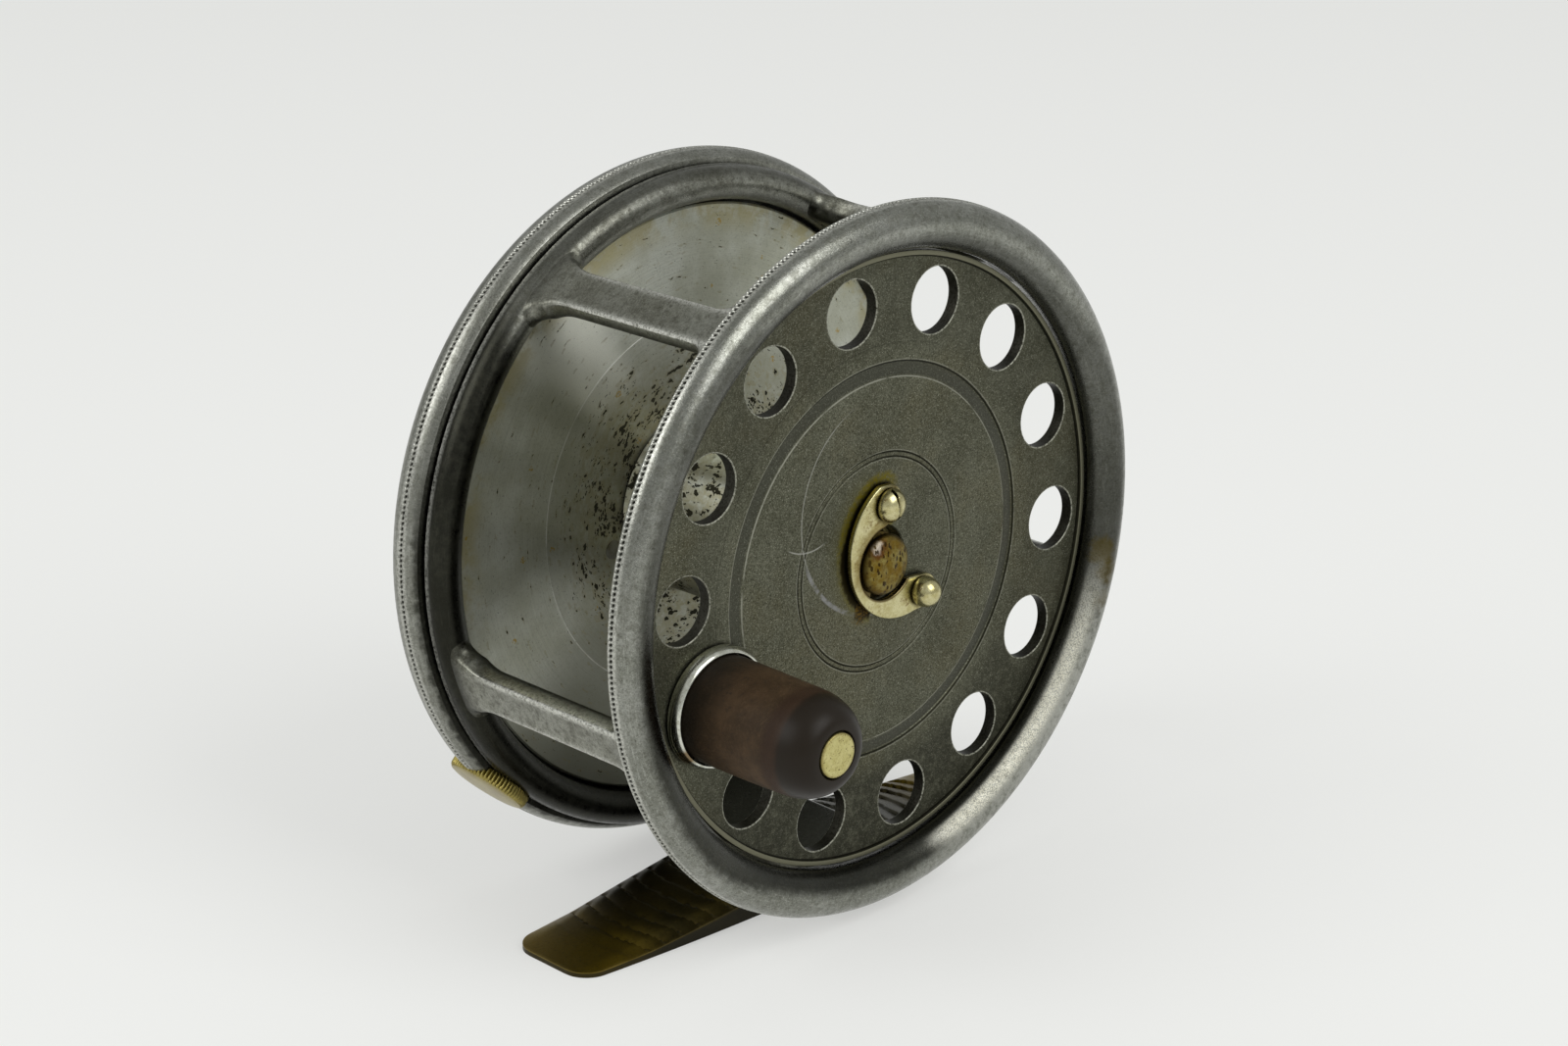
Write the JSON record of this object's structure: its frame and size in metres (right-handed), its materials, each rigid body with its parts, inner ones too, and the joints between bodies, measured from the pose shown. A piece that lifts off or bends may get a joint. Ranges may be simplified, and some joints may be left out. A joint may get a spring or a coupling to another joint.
{
  "type": "fly fishing reel",
  "caption": "Fly fishing reel: open pillared cage on a flat foot, perforated spool with knob handle, sprung latch on the spindle, and click check with a rim regulator.",
  "frame": {"origin": "middle of the foot's flat underside", "axes": "+Z from the foot up to the spool axis, +Y along the spool axis from the handle side to the back plate, +X to the right seen from the handle side"},
  "size_m": [0.1022, 0.0711, 0.1041],
  "materials": {
    "brass": "aged brass",
    "cage_metal": "aged cast aluminium, worn satin",
    "ferrule_nickel": "polished nickel silver",
    "foot_bronze": "dark bronze with worn gold edges",
    "grip_ebonite": "aged dark brown, polished end",
    "latch_nickel_brass": "pale polished",
    "spindle_bronze": "pitted bronze",
    "spool_bright": "bright turned, with stains",
    "spool_dark": "dark weathered, fine mottling",
    "steel": "oiled"
  },
  "bodies": {
    "frame": {"front_ring": "cage_metal", "cage_rear_ring": "cage_metal", "back_plate": "cage_metal", "foot_pillar": "cage_metal", "pillar_upper_left": "cage_metal", "pillar_upper_right": "cage_metal", "pillar_left": "cage_metal", "pillar_right": "cage_metal", "foot": "foot_bronze", "foot_screw_1": "brass", "foot_screw_2": "brass", "foot_screw_3": "brass", "foot_screw_4": "brass", "cage_screw_1": "steel", "cage_screw_2": "steel", "cage_screw_3": "steel", "cage_screw_4": "steel", "cage_screw_5": "steel", "spindle": "spindle_bronze", "spindle_screw": "steel", "pawl_stud": "steel", "check_spring": "steel", "spring_post_upper": "steel", "spring_post_lower": "steel", "regulator_bracket": "steel"},
    "spool": {"spool_face": "spool_dark", "spool_arbor": "spool_bright", "spool_rear_flange": "spool_bright", "spool_bush": "brass", "check_wheel": "brass", "check_wheel_screw_1": "steel", "check_wheel_screw_2": "steel", "check_wheel_screw_3": "steel", "latch_pivot_screw": "latch_nickel_brass", "latch_spring": "steel", "handle_ferrule": "ferrule_nickel", "handle_pin": "brass"},
    "latch": {"latch_plate": "latch_nickel_brass", "latch_knob": "latch_nickel_brass"},
    "grip": {"handle_grip": "grip_ebonite"},
    "pawl": {"check_pawl": "steel"},
    "regulator": {"regulator_knob": "brass", "regulator_screw": "steel"}
  },
  "joints": [
    {"name": "spool_spin", "type": "hinge", "parent": "frame", "child": "spool", "pos_m": [0, -0.0002, 0.053], "axis": [0, 1, 0], "continuous": true},
    {"name": "grip_spin", "type": "hinge", "parent": "spool", "child": "grip", "pos_m": [-0.0314, -0.0312, 0.0407], "axis": [0, 1, 0], "continuous": true},
    {"name": "latch_swing", "type": "hinge", "parent": "spool", "child": "latch", "pos_m": [0.0007, -0.0203, 0.0615], "axis": [0, 1, 0], "range_deg": [0, 12], "stiffness_Nm_per_rad": 0.02},
    {"name": "pawl_rock", "type": "hinge", "parent": "frame", "child": "pawl", "pos_m": [-0.01315, 0.0203, 0.03985], "axis": [0, 1, 0], "range_deg": [-4, 4], "stiffness_Nm_per_rad": 0.05},
    {"name": "regulator_turn", "type": "hinge", "parent": "frame", "child": "regulator", "pos_m": [-0.03535, 0.0223, 0.01765], "axis": [-0.7071, 0, -0.7071], "range_deg": [-270, 270]}
  ]
}
